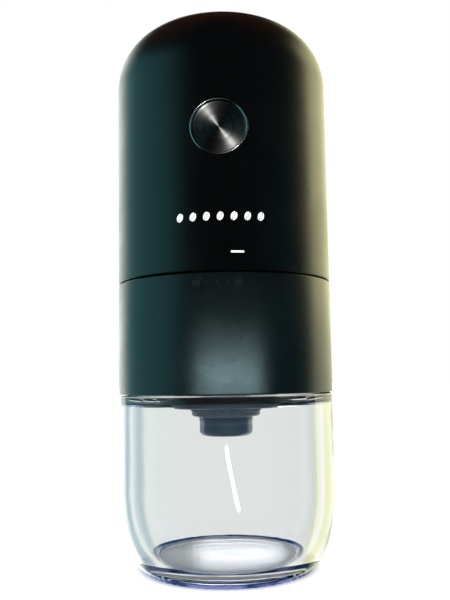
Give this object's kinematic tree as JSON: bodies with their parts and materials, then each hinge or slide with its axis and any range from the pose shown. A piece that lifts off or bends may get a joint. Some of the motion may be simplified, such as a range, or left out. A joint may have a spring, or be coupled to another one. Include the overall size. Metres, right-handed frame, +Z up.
{
  "type": "cordless burr coffee grinder",
  "caption": "Upright bullet-shaped cordless coffee grinder: domed drive unit with a front button, bean chamber with conical burrs, and a clear glass jar for the grounds.",
  "frame": {"origin": "centre of the underside of the foot ring", "axes": "+Z up along the axis of the jar and drive unit, -Y towards the button, +X to the right as seen from the front"},
  "size_m": [0.07, 0.0701, 0.1805],
  "materials": {
    "jar_glass": "clear, polished",
    "foot_silicone": "translucent silicone",
    "label": "printed film, blank",
    "seal_silicone": "matte silicone",
    "chamber_black": "satin moulded",
    "mark_gloss": "raised, polished",
    "hopper_black": "moulded",
    "burr_ceramic": "fired, unglazed",
    "core_grey": "moulded",
    "bush_bronze": "sintered",
    "steel": "turned",
    "spring_steel": "drawn wire",
    "cap_satin": "satin",
    "brass": "turned",
    "housing_black": "soft-touch satin",
    "white_print": "pad printed",
    "bezel_chrome": "polished",
    "button_metal": "spin brushed, dark anodised",
    "chassis_plastic": "moulded",
    "cell_sleeve": "heat-shrink sleeve",
    "nickel": "plated strip",
    "circuit_green": "solder mask",
    "switch_black": "moulded",
    "gear_plastic": "moulded, self-lubricating",
    "motor_steel": "zinc plated",
    "magnet": "sintered",
    "copper": "enamelled copper wire",
    "screw_black": "blackened"
  },
  "bodies": {
    "jar": {"glass_jar": "jar_glass", "foot_ring": "foot_silicone", "base_label": "label"},
    "jar_gasket": {"jar_seal": "seal_silicone"},
    "bean_section": {"chamber_shell": "chamber_black", "lock_marks": "mark_gloss", "thread_collar": "hopper_black", "burr_housing": "hopper_black", "bean_funnel": "hopper_black", "bin_rim": "hopper_black", "outer_burr": "burr_ceramic", "burr_retainer": "core_grey", "spindle_bridge": "hopper_black", "bridge_bush": "bush_bronze"},
    "burr_shaft": {"spindle": "steel", "spindle_key": "steel", "spindle_clip": "spring_steel", "burr_spring": "spring_steel"},
    "burr_cone": {"inner_burr": "burr_ceramic", "burr_carrier": "core_grey"},
    "grind_adjuster": {"adjuster_dial": "core_grey", "adjuster_cap": "cap_satin", "adjuster_nut": "brass"},
    "drive_gasket": {"drive_seal": "seal_silicone"},
    "drive_unit": {"drive_housing": "housing_black", "printed_marks": "white_print", "button_bezel": "bezel_chrome", "drive_base": "hopper_black", "bayonet_ring": "hopper_black", "base_screws": "screw_black", "chassis": "chassis_plastic", "battery_cells": "cell_sleeve", "battery_tabs": "nickel", "main_board": "circuit_green", "tact_switch": "switch_black", "small_screws": "steel", "charge_board": "circuit_green", "charge_socket": "steel", "gearbox_case": "gear_plastic", "gearbox_cover": "gear_plastic", "output_bush": "bush_bronze", "dust_seal": "seal_silicone", "motor_plate": "motor_steel", "motor_screws": "screw_black", "motor_can": "motor_steel", "motor_magnets": "magnet", "motor_end_bell": "gear_plastic", "motor_terminals": "brass", "top_clamp": "chassis_plastic"},
    "power_button": {"button_cap": "button_metal", "button_stem": "switch_black"},
    "rotor": {"motor_shaft": "steel", "armature": "copper", "commutator": "brass", "sun_pinion": "brass"},
    "gear_carrier": {"planet_carrier": "steel", "drive_dog": "switch_black"},
    "planet_1": {"planet_gear_1": "gear_plastic"},
    "planet_2": {"planet_gear_2": "gear_plastic"},
    "planet_3": {"planet_gear_3": "gear_plastic"}
  },
  "joints": [
    {"name": "screw_lift", "type": "slide", "parent": "jar", "child": "jar_gasket", "axis": [0, 0, 1], "range_m": [0, 0.03601]},
    {"name": "screw_turn", "type": "hinge", "parent": "jar_gasket", "child": "bean_section", "pos_m": [0, 0, 0.0644], "axis": [0, 0, 1], "range_deg": [0, 1080]},
    {"name": "burr_spin", "type": "hinge", "parent": "bean_section", "child": "burr_shaft", "pos_m": [0, 0, 0.0805], "axis": [0, 0, 1], "continuous": true},
    {"name": "burr_gap", "type": "slide", "parent": "burr_shaft", "child": "burr_cone", "axis": [0, 0, 1], "range_m": [-0.00076, 0.00076], "deforming": ["burr_spring"]},
    {"name": "adjust_turn", "type": "hinge", "parent": "burr_cone", "child": "grind_adjuster", "pos_m": [0, 0, 0.047], "axis": [0, 0, 1], "range_deg": [-270, 270]},
    {"name": "drive_twist", "type": "hinge", "parent": "bean_section", "child": "drive_gasket", "pos_m": [0, 0, 0.084], "axis": [0, 0, 1], "range_deg": [-20, 0]},
    {"name": "drive_lift", "type": "slide", "parent": "drive_gasket", "child": "drive_unit", "axis": [0, 0, 1], "range_m": [0, 0.06]},
    {"name": "button_press", "type": "slide", "parent": "drive_unit", "child": "power_button", "axis": [0, 1, 0], "range_m": [0, 0.0008], "stiffness_N_per_m": 2000},
    {"name": "rotor_spin", "type": "hinge", "parent": "drive_unit", "child": "rotor", "pos_m": [0, 0, 0.13], "axis": [0, 0, 1], "continuous": true},
    {"name": "carrier_spin", "type": "hinge", "parent": "drive_unit", "child": "gear_carrier", "pos_m": [0, 0, 0.1045], "axis": [0, 0, 1], "continuous": true},
    {"name": "planet_1_spin", "type": "hinge", "parent": "gear_carrier", "child": "planet_1", "pos_m": [0.00744, 0, 0.109], "axis": [0, 0, 1], "continuous": true},
    {"name": "planet_2_spin", "type": "hinge", "parent": "gear_carrier", "child": "planet_2", "pos_m": [-0.00372, 0.00644, 0.109], "axis": [0, 0, 1], "continuous": true},
    {"name": "planet_3_spin", "type": "hinge", "parent": "gear_carrier", "child": "planet_3", "pos_m": [-0.00372, -0.00644, 0.109], "axis": [0, 0, 1], "continuous": true}
  ],
  "couplings": [
    {"joint": "screw_lift", "follows": "screw_turn", "m_per_rad": 0.0019099},
    {"joint": "burr_gap", "follows": "adjust_turn", "m_per_rad": 0.00015915},
    {"joint": "burr_spin", "follows": "rotor_spin", "ratio": 0.20833},
    {"joint": "carrier_spin", "follows": "rotor_spin", "ratio": 0.20833},
    {"joint": "planet_1_spin", "follows": "rotor_spin", "ratio": -0.56548},
    {"joint": "planet_2_spin", "follows": "rotor_spin", "ratio": -0.56548},
    {"joint": "planet_3_spin", "follows": "rotor_spin", "ratio": -0.56548}
  ]
}
